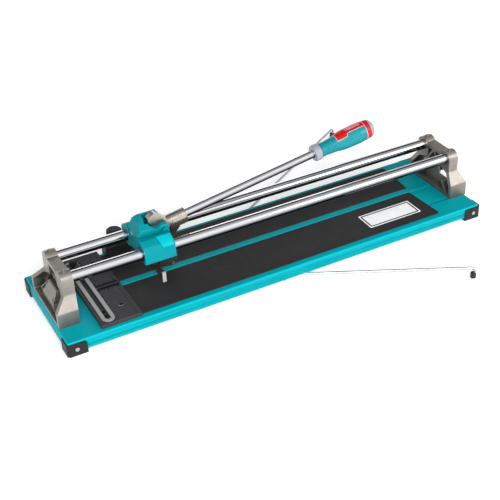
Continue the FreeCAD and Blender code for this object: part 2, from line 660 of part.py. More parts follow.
def build_lever_head():
    """The casting that turns on the pin: rear lobe, hub, neck and the socket for the tube."""
    lobe = Vector(LOBE[0], 0, LOBE[1])
    ahead = Vector(lobe).normalize()
    across = Vector(-ahead.z, 0, ahead.x)
    hub_radius = 13.5
    corners = [across * hub_radius, across * -hub_radius,
               lobe - across * LOBE_RADIUS, lobe + across * LOBE_RADIUS]
    strap = at_pivot(*[(point.x, point.z) for point in corners])
    solids = [
        common("head_lobe", rod("lobe_disc", "Y", from_pivot(*LOBE), LOBE_RADIUS, "-head_half", 3),
               rod("lobe_reach", "Y", from_pivot(0, 0), LOBE_REACH, "-head_half", "head_half")),
        rod("head_hub", "Y", from_pivot(0, 0), hub_radius, "-head_half", "head_half"),
        slab("head_strap", "Y", strap, "-head_half", 3),
        slab("head_web", "Y", at_pivot((-14, 35), (-5, 31, 6), (12, 17), (14, 4), (0, -4), (-14, 12)),
             "-head_half", 3),
        common("head_neck", along_handle("neck_round", "socket_radius", SOCKET[0], 26),
               box("neck_sides", ("pivot_x", "pivot_x + 40"), ("-head_half", "head_half"), (120, 200))),
        along_handle("head_socket", "socket_radius", 24, SOCKET[1]),
    ]
    tools = [
        along_handle("head_bore", "shaft_radius + 0.02", 30, 80),
        rod("head_pin_bore", "Y", from_pivot(0, 0), "pin_radius + running_gap", -20, 20),
        shaft_screw_rod("head_screw_hole", 2.55, 0, 20),
    ]
    for dx, y in ARM_SCREWS:
        tools.append(rod("head_tapping", "Z", (f"pivot_x + {dx}", y), 2, "pivot_z - 20", "pivot_z - 2"))
    node(cut("head", fuse("head_blank", *solids), *tools), "lever_head")


def shaft_screw_rod(name, radius, low, high):
    """A cylinder across the socket, where the handle tube's set screw goes."""
    centre = handle_place(46).Base
    return rod(name, "Y", (centre.x, centre.z), radius, low, high)


def build_handle():
    """The tube, its screw, the ferrule and the moulded grip."""
    tube = along_handle("handle_tube", "shaft_radius", 30, 505)
    bore = along_handle("handle_bore", "shaft_radius - 1.6", 25, 509)
    node(cut("handle_cut", tube, bore), "handle_shaft")
    screw = cut("shaft_screw_body", shaft_screw_rod("shaft_screw_rod", 2.5, 9.1, 15),
                shaft_screw_rod("shaft_screw_key", 1.4, 13.2, 16))
    node(screw, "shaft_screw")
    hole = size("shaft_radius") + 0.02
    ring = outline((372, hole), (372, 17, 2), (375, 18.4, 2), (385, 18.4, 2), (388, 17.2, 1.5), (388, hole))
    grip = [(388, 16.2, 1.5), (402, 15.4, 30), (426, 17.4, 40), (446, 21.3, 40), (486, 22.7, 60),
            (501, 21.4)]
    core = turned("grip_core", outline((388, hole), *grip, (501, hole)))
    upper = [(446, 21.8), (486, 23.2, 60), (501, 21.9)]
    lower = [(501, 19.4), (486, 20.7, 60), (446, 19.3)]
    tail = outline((430, 18.8), (438, 20.7, 20), (446, 22, 20), (454, 22.5), (454, 19), (430, 16))
    stripe = fuse("grip_stripes", turned("grip_stripe", outline(*upper, *lower), angle=54),
                  turned("grip_tail", tail, angle=92))
    band = turned("grip_band", outline((501, hole), (501, 21.6, 0.5), (512, 20.8, 0.5), (512, hole)))
    dome = turned("cap_dome", outline((512, 0), (512, 20.3, 1), (518, 19.4, 5), (523.5, 14, 6), (525.5, 0)))
    collar = turned("ferrule_ring", ring)
    for solid in (collar, core, stripe, band, dome):
        solid.Placement = handle_place()
    node(collar, "ferrule")
    node(cut("grip_body", core, stripe), "grip")
    node(fuse("grip_red", stripe, band), "grip_inlay")
    node(dome, "grip_cap")


def build_wheel_arm():
    """The dark arm under the carriage, its screws, the wheel and the axle."""
    shape = at_pivot((16, -22, 3), (18, -4), (41, 0), (41, -14, 4), (31, -25, 6), (31, -84, 12),
                     (24, -102, 4), (10, -102, 4), (2, -97, 4), (-11, -96, 4), (-12, -85, 3),
                     (-32, -80, 7), (-32, -66, 7), (-16, -65, 8), (4, -66, 10), (16, -56, 10))
    cradle_side = at_pivot((16, -26), (62, -18), (62, 5), (16, -2))
    cradle = common("arm_cradle", along_handle("cradle_round", 19, SOCKET[0] + 6, SOCKET[1]),
                    slab("cradle_side", "Y", cradle_side, -13, 13))
    blank = fuse("arm_blank", slab("arm_plate", "Y", shape, "-arm_half", "arm_half"), cradle)
    tools = [
        along_handle("arm_saddle", "socket_radius + 0.02", 0, 80),
        box("wheel_slot", ("pivot_x + 5", "pivot_x + 45"), (-1.6, 1.6), ("pivot_z - 120", "pivot_z - 85.5")),
        rod("axle_hole", "Y", from_pivot(*WHEEL), "axle_radius + 0.02", -20, 20),
        rod("hinge_hole", "Y", from_pivot(*HINGE), "axle_radius + running_gap", -20, 20),
    ]
    screws = []
    for dx, y in ARM_SCREWS:
        place = (f"pivot_x + {dx}", y)
        tools.append(rod("arm_screw_hole", "Z", place, 2.05, "pivot_z - 30", "pivot_z + 5"))
        tools.append(rod("arm_counterbore", "Z", place, 2.9, "pivot_z - 30", "pivot_z - 14"))
        head = rod("arm_screw_head", "Z", place, 2.8, "pivot_z - 17.5", "pivot_z - 14")
        shank = rod("arm_screw_shank", "Z", place, 1.95, "pivot_z - 15", "pivot_z - 4")
        screws.append(fuse("arm_screw", head, shank))
    node(cut("arm", blank, *tools), "wheel_arm")
    node(fuse("arm_screw_pair", *screws), "arm_screws")
    shape = outline((-1, 3.05), (-1, 8.8), (-0.12, 11, 0.1), (0.12, 11, 0.1), (1, 8.8), (1, 3.05))
    disc = turned("wheel_disc", shape)
    place = Vector(size("pivot_x") + WHEEL[0], 0, size("pivot_z") + WHEEL[1])
    disc.Placement = Placement(place, Rotation(Vector(0, 0, 1), 90))
    node(disc, "cutting_wheel")
    axle = rod("axle_body", "Y", from_pivot(*WHEEL), "axle_radius", -7.2, 7.2)
    heads = [rod("axle_head", "Y", from_pivot(*WHEEL), 4, *span) for span in ((-8.6, -7.1), (7.1, 8.6))]
    node(fuse("axle", axle, *heads), "wheel_axle")


def build_breaker():
    """The foot that snaps the tile: a crossbar on two lugs, with a pad at each end."""
    bar_shape = outline((-54.5, 52), (-54.5, 68, 2), (-46, 68, 3), (-28, 62, 8), (28, 62, 8), (46, 68, 3),
                        (54.5, 68, 2), (54.5, 52), (28, 54, 8), (-28, 54, 8))
    solids = [slab("breaker_bar", "X", bar_shape, "pivot_x - 28.5", "pivot_x - 19.5")]
    for y in ((-12, -7.3), (7.3, 12)):
        solids.append(rod("breaker_eye", "Y", from_pivot(*HINGE), 7.5, *y))
        solids.append(box("breaker_lug", ("pivot_x - 29.5", "pivot_x - 18.5"), y, (56, "pivot_z - 74")))
    hole = rod("breaker_hole", "Y", from_pivot(*HINGE), "axle_radius + 0.02", -20, 20)
    node(cut("breaker", fuse("breaker_blank", *solids), hole), "breaker_foot")
    pads = []
    x = size("pivot_x")
    for y in ((-58.8, -54.5), (54.5, 58.8)):
        shape = outline((x - 28, y[0], 1), (x - 20, y[0], 1), (x - 20, y[1], 1), (x - 28, y[1], 1))
        pads.append(slab("breaker_pad", "Z", shape, 47.5, 70.5))
    node(fuse("breaker_pad_pair", *pads), "breaker_pads")
    pin = rod("breaker_pin_body", "Y", from_pivot(*HINGE), "axle_radius", -12.2, 12.2)
    heads = [rod("breaker_pin_head", "Y", from_pivot(*HINGE), 4.4, *span)
             for span in ((-13.6, -12), (12, 13.6))]
    node(fuse("breaker_pin_whole", pin, *heads), "breaker_pin")


# ---------------------------------------------------------------- build, check and write

def check(solid):
    """Stop on a sub-part whose shape is null or not valid."""
    if solid.Shape.isNull() or not solid.Shape.isValid():
        raise RuntimeError(f"{solid.Label} has no valid shape")
    if solid.Shape.Volume <= 0:
        raise RuntimeError(f"{solid.Label} has no volume")


build_base_plate()
build_bed()
build_corner_caps()
build_bracket("left")
build_bracket("right")
build_rails()
build_rail_fasteners()
build_fence()
build_fence_stop()
build_edge_stop()
build_arms()
build_carriage_body()
build_bearings()
build_pivot()
build_lever_head()
build_handle()
build_wheel_arm()
build_breaker()
doc.recompute()

failed = [item.Name for item in doc.Objects if "Invalid" in item.State or "Error" in item.State]
if failed:
    raise RuntimeError(f"failed objects: {failed}")
for solid in nodes:
    check(solid)

os.makedirs("parts", exist_ok=True)
for solid in nodes:
    solid.Shape.exportStep(f"parts/{solid.Label}.step")
    print(f"{solid.Label}: {len(solid.Shape.Solids)} solids, {solid.Shape.Volume / 1000:.2f} cm3")
print(len(nodes), "nodes")
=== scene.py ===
import math

import bmesh
import bpy
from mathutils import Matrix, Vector


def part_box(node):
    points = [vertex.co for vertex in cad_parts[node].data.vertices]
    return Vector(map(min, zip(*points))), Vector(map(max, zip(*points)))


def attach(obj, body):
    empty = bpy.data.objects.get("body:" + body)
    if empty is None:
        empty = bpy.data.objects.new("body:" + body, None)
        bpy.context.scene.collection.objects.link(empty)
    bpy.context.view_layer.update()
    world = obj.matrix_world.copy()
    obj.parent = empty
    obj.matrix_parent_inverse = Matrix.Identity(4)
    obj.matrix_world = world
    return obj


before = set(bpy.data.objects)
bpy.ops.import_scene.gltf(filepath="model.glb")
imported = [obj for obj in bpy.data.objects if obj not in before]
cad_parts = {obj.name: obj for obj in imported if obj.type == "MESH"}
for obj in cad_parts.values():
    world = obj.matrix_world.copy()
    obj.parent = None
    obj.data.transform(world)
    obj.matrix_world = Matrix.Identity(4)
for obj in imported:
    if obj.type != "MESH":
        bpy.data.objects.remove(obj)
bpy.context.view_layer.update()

MM = 0.001
UP = Vector((0, 0, 1))
SHARP = math.radians(34)    # edges that turn by more than this are rounded


# ---------------------------------------------------------------- materials

def srgb(red, green, blue):
    """A linear colour from 0-255 display values."""
    def linear(value):
        value /= 255
        return value / 12.92 if value <= 0.04045 else ((value + 0.055) / 1.055) ** 2.4
    return (linear(red), linear(green), linear(blue), 1.0)


class Graph:
    """A small helper to wire shader nodes."""

    def __init__(self, name):
        self.material = bpy.data.materials.new(name)
        self.material.use_nodes = True
        self.tree = self.material.node_tree
        self.shader = self.tree.nodes["Principled BSDF"]

    def add(self, kind, **settings):
        made = self.tree.nodes.new("ShaderNode" + kind)
        for key, value in settings.items():
            setattr(made, key, value)
        return made

    def link(self, output, socket):
        self.tree.links.new(output, socket)

    def place(self, stretch=(1, 1, 1)):
        """Object coordinates, squeezed along each axis."""
        coords = self.add("TexCoord")
        mapping = self.add("Mapping")
        mapping.inputs["Scale"].default_value = stretch
        self.link(coords.outputs["Object"], mapping.inputs["Vector"])
        return mapping.outputs["Vector"]

    def noise(self, scale, detail, rough=0.55, stretch=(1, 1, 1)):
        """Fractal noise over the object."""
        made = self.add("TexNoise")
        made.inputs["Scale"].default_value = scale
        made.inputs["Detail"].default_value = detail
        made.inputs["Roughness"].default_value = rough
        self.link(self.place(stretch), made.inputs["Vector"])
        return made.outputs["Fac"]

    def spread(self, value, low, high, start=0.3, end=0.7):
        """Map a value from start..end to low..high."""
        made = self.add("MapRange")
        made.inputs["From Min"].default_value = start
        made.inputs["From Max"].default_value = end
        made.inputs["To Min"].default_value = low
        made.inputs["To Max"].default_value = high
        self.link(value, made.inputs["Value"])
        return made.outputs["Result"]

    def mix(self, factor, first, second):
        """A colour between two, each a fixed colour or another output."""
        made = self.add("Mix", data_type="RGBA")
        self.link(factor, made.inputs["Factor"])
        for socket, value in (("A", first), ("B", second)):
            target = next(s for s in made.inputs if s.name == socket and s.type == "RGBA")
            if isinstance(value, tuple):
                target.default_value = value
            else:
                self.link(value, target)
        return next(s for s in made.outputs if s.type == "RGBA")

    def bump(self, height, strength, distance, normal=None):
        """A normal bent by a height, over another bump's normal if one is given."""
        made = self.add("Bump")
        made.inputs["Strength"].default_value = strength
        made.inputs["Distance"].default_value = distance
        self.link(height, made.inputs["Height"])
        if normal is not None:
            self.link(normal, made.inputs["Normal"])
        return made.outputs["Normal"]

    def edges(self, radius):
        """A mask that is 1 on sharp edges, where the true and the rounded normal differ."""
        bevel = self.add("Bevel", samples=4)
        bevel.inputs["Radius"].default_value = radius
        geometry = self.add("NewGeometry")
        dot = self.add("VectorMath", operation="DOT_PRODUCT")
        self.link(bevel.outputs["Normal"], dot.inputs[0])
        self.link(geometry.outputs["Normal"], dot.inputs[1])
        return self.spread(dot.outputs["Value"], 1, 0, 0.88, 0.99)

    def facing_up(self):
        """The upward part of the surface normal: 1 facing up, 0 upright, -1 facing down."""
        geometry = self.add("NewGeometry")
        split = self.add("SeparateXYZ")
        self.link(geometry.outputs["Normal"], split.inputs[0])
        return split.outputs["Z"]

    def folds(self):
        """A mask that is 1 where the surface leans halfway between level and upright."""
        up = self.facing_up()
        level = self.multiply(up, up)
        rest = self.add("Math", operation="SUBTRACT")
        rest.inputs[0].default_value = 1
        self.link(level, rest.inputs[1])
        return self.spread(self.multiply(level, rest.outputs[0]), 0, 1, 0.09, 0.24)

    def below(self, high, low):
        """A mask that grows from 0 to 1 as the upward part of the normal falls from high to low."""
        return self.spread(self.facing_up(), 1, 0, low, high)

    def hollows(self, distance):
        """A mask that is 1 deep in recesses and 0 on open faces, where shade is painted in."""
        shade = self.add("AmbientOcclusion", samples=6)
        shade.inputs["Distance"].default_value = distance
        return self.spread(shade.outputs["AO"], 1, 0, 0.25, 0.95)

    def multiply(self, first, second):
        """The product of an output and either a number or another output."""
        made = self.add("Math", operation="MULTIPLY")
        self.link(first, made.inputs[0])
        if isinstance(second, (int, float)):
            made.inputs[1].default_value = second
        else:
            self.link(second, made.inputs[1])
        return made.outputs["Value"]


def tinted(colour, factor):
    """A colour made lighter or darker."""
    return tuple(min(1, part * factor) for part in colour[:3]) + (1.0,)


def finish(name, colour, rough, mottle, grain, metallic=0.0, specular=0.5, stretch=(1, 1, 1),
           rough_spread=0.06, edge_wear_and_highlight=None, speckle=None, recess_shade_reach=0.0):
    """A procedural finish: mottled colour, uneven roughness, fine grain, a lighter colour along the
    edges that is partly worn paint and partly a painted highlight, and painted shade in the hollows.

    mottle is (noise scale, share of the colour), grain is (noise scale, strength, depth in m),
    wear is (colour, edge radius in m, noise scale, amount) for the lighter edges, speckle is (noise
    scale, start, colour) and recess is how far in metres the painted shade in the hollows reaches.
    """
    graph = Graph(name)
    shader = graph.shader.inputs
    shader["Metallic"].default_value = metallic
    shader["Specular IOR Level"].default_value = specular
    mottle_scale, mottle_share = mottle
    tone = graph.spread(graph.noise(mottle_scale, 4), 0, 1)
    shade = graph.mix(tone, tinted(colour, 1 - mottle_share), tinted(colour, 1 + mottle_share))
    if speckle:
        speckle_scale, start, speckle_colour = speckle
        dots = graph.spread(graph.noise(speckle_scale, 2, 0.6), 0, 1, start, start + 0.08)
        shade = graph.mix(dots, shade, speckle_colour)
    # Lighter colour in patches along sharp edges: partly worn paint, partly a painted highlight.
    if edge_wear_and_highlight:
        edge_wear_highlight_colour, radius, edge_patch_scale, amount = edge_wear_and_highlight
        patches = graph.spread(graph.noise(edge_patch_scale, 5, 0.7), 0, amount)
        shade = graph.mix(graph.multiply(graph.edges(radius), patches), shade, edge_wear_highlight_colour)
    # Painted shade: a dark tone deep in the hollows.
    if recess_shade_reach:
        deep = graph.multiply(graph.hollows(recess_shade_reach), 0.7)
        shade = graph.mix(deep, shade, tinted(colour, 0.2))
    graph.link(shade, shader["Base Color"])
    uneven = graph.noise(mottle_scale * 2.7, 4, 0.6, stretch)
    graph.link(graph.spread(uneven, rough - rough_spread, rough + rough_spread), shader["Roughness"])
    grain_scale, strength, depth = grain
    fine = graph.noise(grain_scale, 3, 0.6, stretch)
    graph.link(graph.bump(fine, strength, depth), shader["Normal"])
    return graph.material


TEAL = srgb(0, 152, 163)
# Painted highlight: the lighter teal laid along folds and sharp edges, where light catches them.
TEAL_HIGHLIGHT = srgb(2, 178, 187)
TEAL_FLECK = srgb(4, 156, 166)


def powder_coat():
    """Teal powder coat: soft orange peel, fine dust, and a painted highlight along the folds."""
    graph = Graph("powder_coat_teal")
    shader = graph.shader.inputs
    shader["Specular IOR Level"].default_value = 0.06
    cloud = graph.spread(graph.noise(9, 5, 0.6), 0, 1)
    base = graph.mix(cloud, tinted(TEAL, 0.93), tinted(TEAL, 1.06))
    # Painted highlight: a lighter teal where the surface leans halfway between level and upright.
    fold_highlight = graph.multiply(graph.folds(), graph.spread(graph.noise(120, 4, 0.7), 0.7, 1.0))
    base = graph.mix(fold_highlight, base, TEAL_HIGHLIGHT)
    dust = graph.spread(graph.noise(1400, 2, 0.7), 0, 0.3, 0.66, 0.78)
    base = graph.mix(dust, base, tinted(TEAL, 1.25))
    graph.link(base, shader["Base Color"])
    graph.link(graph.spread(graph.noise(40, 5, 0.65), 0.4, 0.55), shader["Roughness"])
    peel = graph.bump(graph.noise(420, 2, 0.5), 0.10, 0.0004)
    graph.link(graph.bump(graph.noise(2600, 2, 0.5), 0.06, 0.0001, peel), shader["Normal"])
    return graph.material


def chrome(name, rough, tone):
    """Polished chrome over ground tube: rings from grinding, rubbed streaks and a painted dark
    reflection on the underside.
    """
    graph = Graph(name)
    shader = graph.shader.inputs
    shader["Metallic"].default_value = 1.0
    streaks = graph.spread(graph.noise(14, 5, 0.65, (0.35, 9, 9)), 0, 1)
    plate = graph.mix(streaks, tinted(tone, 0.9), tone)
    # Painted reflection: the colour darkens as the surface turns to face down.
    under = graph.below(0.42, 0.0)
    graph.link(graph.mix(under, plate, tinted(tone, 0.13)), shader["Base Color"])
    rubbed = graph.noise(22, 5, 0.7, (0.3, 12, 12))
    graph.link(graph.spread(rubbed, rough * 0.6, rough * 1.6), shader["Roughness"])
    rings = graph.noise(160, 3, 0.6, (22, 0.6, 0.6))
    graph.link(graph.bump(rings, 0.05, 0.00006), shader["Normal"])
    return graph.material


def cast_alloy(name, colour, metallic, rough, pits):
    """Cast and lacquered alloy: sand texture, soft cloudiness, a painted highlight on the corners and
    painted shade in the hollows.
    """
    graph = Graph(name)
    shader = graph.shader.inputs
    shader["Metallic"].default_value = metallic
    shader["Specular IOR Level"].default_value = 0.55
    cloud = graph.spread(graph.noise(34, 5, 0.6), 0, 1)
    base = graph.mix(cloud, tinted(colour, 0.88), tinted(colour, 1.07))
    sand = graph.spread(graph.noise(1300, 3, 0.7), 0, 0.5, 0.55, 0.75)
    base = graph.mix(sand, base, tinted(colour, 0.62))
    # Painted highlight: a lighter colour along the sharp corners.
    corner_highlight = graph.multiply(graph.edges(0.0012), graph.spread(graph.noise(260, 4, 0.7), 0.2, 0.85))
    base = graph.mix(corner_highlight, base, tinted(colour, 1.5))
    # Painted shade: a dark tone deep in the hollows.
    base = graph.mix(graph.multiply(graph.hollows(0.045), 0.9), base, tinted(colour, 0.12))
    graph.link(base, shader["Base Color"])
    graph.link(graph.spread(graph.noise(70, 4, 0.7), rough - 0.07, rough + 0.09), shader["Roughness"])
    coarse = graph.bump(graph.noise(380, 4, 0.6), pits * 0.5, 0.0005)
    graph.link(graph.bump(graph.noise(1500, 3, 0.7), pits, 0.0002, coarse), shader["Normal"])
    return graph.material


def bed_rubber():
    """Black rubber sheet: fine linen emboss, faint scuffs along the cut."""
    graph = Graph("rubber_bed")
    shader = graph.shader.inputs
    shader["Specular IOR Level"].default_value = 0.12
    colour = srgb(43, 43, 44)
    cloud = graph.spread(graph.noise(7, 5, 0.6), 0, 1)
    base = graph.mix(cloud, tinted(colour, 0.82), tinted(colour, 1.16))
    scuff = graph.spread(graph.noise(30, 6, 0.75, (0.6, 5, 5)), 0, 0.4, 0.56, 0.74)
    base = graph.mix(scuff, base, srgb(56, 55, 55))
    specks = graph.spread(graph.noise(900, 2, 0.7), 0, 0.7, 0.68, 0.8)
    base = graph.mix(specks, base, srgb(78, 77, 76))
    graph.link(base, shader["Base Color"])
    graph.link(graph.spread(graph.noise(26, 5, 0.7), 0.55, 0.74), shader["Roughness"])
    weave = graph.add("TexChecker")
    weave.inputs["Scale"].default_value = 900
    graph.link(graph.place(), weave.inputs["Vector"])
    linen = graph.bump(weave.outputs["Fac"], 0.08, 0.0001)
    graph.link(graph.bump(graph.noise(1100, 3, 0.6), 0.3, 0.00025, linen), shader["Normal"])
    return graph.material


def clear_plastic():
    """Water-clear moulded sleeve with a faint haze."""
    graph = Graph("clear_sleeve")
    shader = graph.shader.inputs
    shader["Transmission Weight"].default_value = 0.92
    shader["IOR"].default_value = 1.46
    haze = graph.spread(graph.noise(180, 4, 0.6), 0, 1)
    graph.link(graph.mix(haze, (0.86, 0.9, 0.92, 1), (0.96, 0.97, 0.98, 1)), shader["Base Color"])
    graph.link(graph.spread(graph.noise(60, 4, 0.7), 0.04, 0.14), shader["Roughness"])
    graph.link(graph.bump(graph.noise(300, 2, 0.5), 0.04, 0.0002), shader["Normal"])
    return graph.material


# Finishes given a lighter edge colour have it laid along their sharp edges, partly as worn paint and
# partly as a painted highlight.
FINISH = {
    "teal_sheet": powder_coat(),
    # Painted shade: the ridge gets a darker copy of the teal powder coat, without its fold highlight.
    "teal_ridge_shaded": finish(
        "powder_coat_ridge_shaded", srgb(0, 140, 150), 0.45, (9, 0.06), (420, 0.1, 0.0004),
        specular=0.06, speckle=(1400, 0.68, TEAL_FLECK)),
    # The carriage's teal has painted shade in its hollows.
    "teal_casting": finish(
        "casting_teal", srgb(0, 136, 146), 0.42, (28, 0.06), (700, 0.14, 0.0003),
        specular=0.1, edge_wear_and_highlight=(TEAL_HIGHLIGHT, 0.0016, 150, 0.6), speckle=(1600, 0.68, TEAL_FLECK),
        recess_shade_reach=0.03),
    # Painted highlight: the facet gets a lighter copy of the carriage's teal, as if lit by the light it
    # faces.
    "teal_lit_facet": finish(
        "casting_teal_lit_facet", srgb(0, 176, 187), 0.42, (28, 0.05), (700, 0.14, 0.0003),
        specular=0.1, edge_wear_and_highlight=(TEAL_HIGHLIGHT, 0.0012, 150, 0.6)),
    "rubber_bed": bed_rubber(),
    "chrome": chrome("chrome_rail", 0.1, srgb(226, 226, 230)),
    "chrome_handle": chrome("chrome_handle", 0.12, srgb(222, 222, 226)),
    # The cast alloys take a painted highlight on their corners and painted shade in their hollows.
    "bracket": cast_alloy("bracket_alloy", srgb(146, 140, 133), 0.6, 0.34, 0.28),
    "lever_head": cast_alloy("lever_alloy", srgb(186, 179, 169), 0.92, 0.24, 0.16),
    "dark_casting": cast_alloy("dark_casting", srgb(66, 57, 50), 0.35, 0.48, 0.35),
    "fence": finish(
        "fence_enamel", srgb(58, 58, 60), 0.55, (30, 0.12), (1500, 0.3, 0.0002),
        specular=0.12, edge_wear_and_highlight=(srgb(96, 96, 98), 0.0008, 300, 0.5),
        speckle=(1900, 0.64, srgb(76, 76, 78))),
    "bar": finish(
        "bar_zinc", srgb(160, 161, 161), 0.45, (40, 0.07), (500, 0.12, 0.0002), metallic=0.3,
        stretch=(14, 0.5, 1), edge_wear_and_highlight=(srgb(225, 225, 225), 0.0006, 400, 0.6)),
    "zinc": finish(
        "zinc_plate", srgb(196, 198, 200), 0.3, (90, 0.1), (700, 0.12, 0.0002), metallic=0.85,
        speckle=(260, 0.62, srgb(150, 152, 156))),
    "screw": finish(
        "screw_steel", srgb(190, 190, 188), 0.28, (300, 0.12), (2500, 0.15, 0.0001), metallic=0.95,
        edge_wear_and_highlight=(srgb(235, 235, 235), 0.0004, 900, 0.7)),
    "black_steel": finish(
        "black_oxide", srgb(38, 38, 40), 0.34, (300, 0.2), (2500, 0.15, 0.0001), metallic=0.7,
        edge_wear_and_highlight=(srgb(130, 130, 130), 0.0004, 900, 0.6)),
    "polished": finish(
        "polished_steel", srgb(214, 214, 218), 0.12, (200, 0.05), (1800, 0.05, 0.0001), metallic=1.0,
        rough_spread=0.04),
    "black_plastic": finish(
        "moulded_black", srgb(30, 30, 31), 0.5, (40, 0.16), (1200, 0.5, 0.0003),
        specular=0.25, edge_wear_and_highlight=(srgb(66, 66, 68), 0.001, 300, 0.5)),
    "foot_rubber": finish(
        "boot_rubber", srgb(40, 40, 41), 0.68, (90, 0.2), (900, 0.3, 0.0003), specular=0.3),
    "seal": finish("seal_rubber", srgb(34, 34, 36), 0.5, (200, 0.2), (1500, 0.2, 0.0001)),
    "pale_pad": finish(
        "pad_moulding", srgb(172, 171, 169), 0.5, (120, 0.06), (1400, 0.3, 0.0002),
        edge_wear_and_highlight=(srgb(170, 168, 164), 0.0008, 300, 0.4)),
    "teal_grip": finish(
        "grip_teal", srgb(0, 128, 138), 0.3, (24, 0.05), (1500, 0.22, 0.0002),
        specular=0.35, edge_wear_and_highlight=(TEAL_HIGHLIGHT, 0.0012, 160, 0.4)),
    "red_grip": finish(
        "grip_red", srgb(196, 14, 8), 0.34, (24, 0.07), (1500, 0.22, 0.0002), specular=0.3),
    "lilac": finish(
        "collar_lilac", srgb(150, 150, 163), 0.36, (30, 0.06), (1300, 0.3, 0.0002),
        edge_wear_and_highlight=(srgb(206, 206, 216), 0.001, 200, 0.5)),
    "accent": finish("accent_pale", srgb(186, 188, 198), 0.4, (60, 0.06), (1300, 0.2, 0.0002)),
    "clear": clear_plastic(),
    "gold": finish(
        "titanium_gold", srgb(222, 170, 74), 0.24, (200, 0.1), (900, 0.2, 0.0001), metallic=1.0,
        edge_wear_and_highlight=(srgb(246, 216, 140), 0.0004, 700, 0.6)),
    "label": finish("label_white", srgb(244, 245, 246), 0.5, (50, 0.05), (1400, 0.1, 0.0001)),
    "label_dark": finish(
        "label_dark", srgb(30, 30, 32), 0.6, (50, 0.14), (1400, 0.1, 0.0001), specular=0.08),
    "mark_dark": finish(
        "mark_dark", srgb(6, 6, 7), 0.8, (300, 0.2), (1500, 0.1, 0.0001), specular=0.03),
}

NODE_FINISH = {
    "teal_sheet": ["base_plate"],
    "teal_ridge_shaded": ["breaking_ridge"],
    "teal_casting": ["carriage_body"],
    "rubber_bed": ["near_pad", "rear_pad"],
    "chrome": ["front_rail", "rear_rail"],
    "chrome_handle": ["handle_shaft"],
    "bracket": ["left_bracket", "right_bracket"],
    "lever_head": ["lever_head"],
    "dark_casting": ["wheel_arm", "breaker_foot"],
    "fence": ["fence_plate"],
    "bar": ["fence_bar"],
    "zinc": ["base_stiffener", "arm_sockets", "arm_stops", "front_arm", "rear_arm"],
    "screw": [
        "cap_screws", "bracket_screws", "rail_set_screws", "arm_screws", "wheel_axle", "breaker_pin"],
    "black_steel": ["bar_screws", "fence_screws", "shaft_screw", "pivot_clip"],
    "polished": ["front_balls", "rear_balls", "pivot_pin"],
    "black_plastic": [
        "corner_cap_front_left", "corner_cap_front_right",
        "corner_cap_rear_left", "corner_cap_rear_right",
        "fence_stop", "fence_stop_knob", "edge_stop", "edge_stop_knob"],
    "foot_rubber": ["front_arm_foot", "rear_arm_foot"],
    "seal": ["bearing_seals"],
    "pale_pad": ["breaker_pads"],
    "teal_grip": ["grip"],
    "red_grip": ["grip_inlay"],
    "lilac": ["ferrule", "grip_cap"],
    "clear": ["front_bearing", "rear_bearing"],
    "gold": ["cutting_wheel"],
}

# Edge rounding in mm, where the usual rounding doesn't suit.
USUAL_EDGE = 0.3
EDGE = {
    "base_plate": 0.5, "left_bracket": 1.0, "right_bracket": 1.0, "carriage_body": 1.1,
    "lever_head": 0.9, "edge_stop": 0.9, "wheel_arm": 0.8, "breaker_foot": 0.8,
    "breaking_ridge": 0.6, "fence_plate": 0.5, "near_pad": 0.4, "rear_pad": 0.4,
    "edge_stop_knob": 0.6,
}


def round_edges(item, width):
    """Round an object's sharp edges by a width in mm."""
    bevel = item.modifiers.new("edges", "BEVEL")
    bevel.width = width * MM
    bevel.segments = 2
    bevel.limit_method = "ANGLE"
    bevel.angle_limit = SHARP


def smooth(item):
    """Smooth shading whose normals follow an object's larger faces."""
    for polygon in item.data.polygons:
        polygon.use_smooth = True
    normals = item.modifiers.new("normals", "WEIGHTED_NORMAL")
    normals.weight = 80


def dress(name, material):
    """Give a CAD node its finish, welded corners, rounded edges and smooth shading."""
    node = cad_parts[name]
    node.data.materials.clear()
    node.data.materials.append(material)
    for polygon in node.data.polygons:
        polygon.material_index = 0
    weld = node.modifiers.new("weld", "WELD")
    weld.merge_threshold = 0.00001
    round_edges(node, EDGE.get(name, USUAL_EDGE))
    smooth(node)


for finish_name, node_names in NODE_FINISH.items():
    for node_name in node_names:
        dress(node_name, FINISH[finish_name])


# ---------------------------------------------------------------- pieces

def piece(name, body, material, build, round_mm=0.0):
    """A mesh piece that rides on a body; build fills its bmesh."""
    mesh = bpy.data.meshes.new(name)
    shape = bmesh.new()
    build(shape)
    bmesh.ops.recalc_face_normals(shape, faces=shape.faces)
    shape.to_mesh(mesh)
    shape.free()
    made = bpy.data.objects.new(name, mesh)
    bpy.context.scene.collection.objects.link(made)
    mesh.materials.append(FINISH[material])
    if round_mm:
        round_edges(made, round_mm)
    smooth(made)
    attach(made, body)


def prism(shape, points, low, high):
    """A prism over an outline of (x, y) between two heights, all in mm."""
    rings = [[shape.verts.new(Vector((x, y, level)) * MM) for x, y in points] for level in (low, high)]
    count = len(points)
    shape.faces.new(list(reversed(rings[0])))
    shape.faces.new(rings[1])
    for i in range(count):
        j = (i + 1) % count
        shape.faces.new((rings[0][i], rings[0][j], rings[1][j], rings[1][i]))


def disc(x, y, radius, count):
    """A circle's points."""
    points = []
    for i in range(count):
        turn = 2 * math.pi * i / count
        points.append((x + radius * math.cos(turn), y + radius * math.sin(turn)))
    return points


def band(x0, x1, y0, y1):
    """A rectangle's points."""
    return [(x0, y0), (x1, y0), (x1, y1), (x0, y1)]


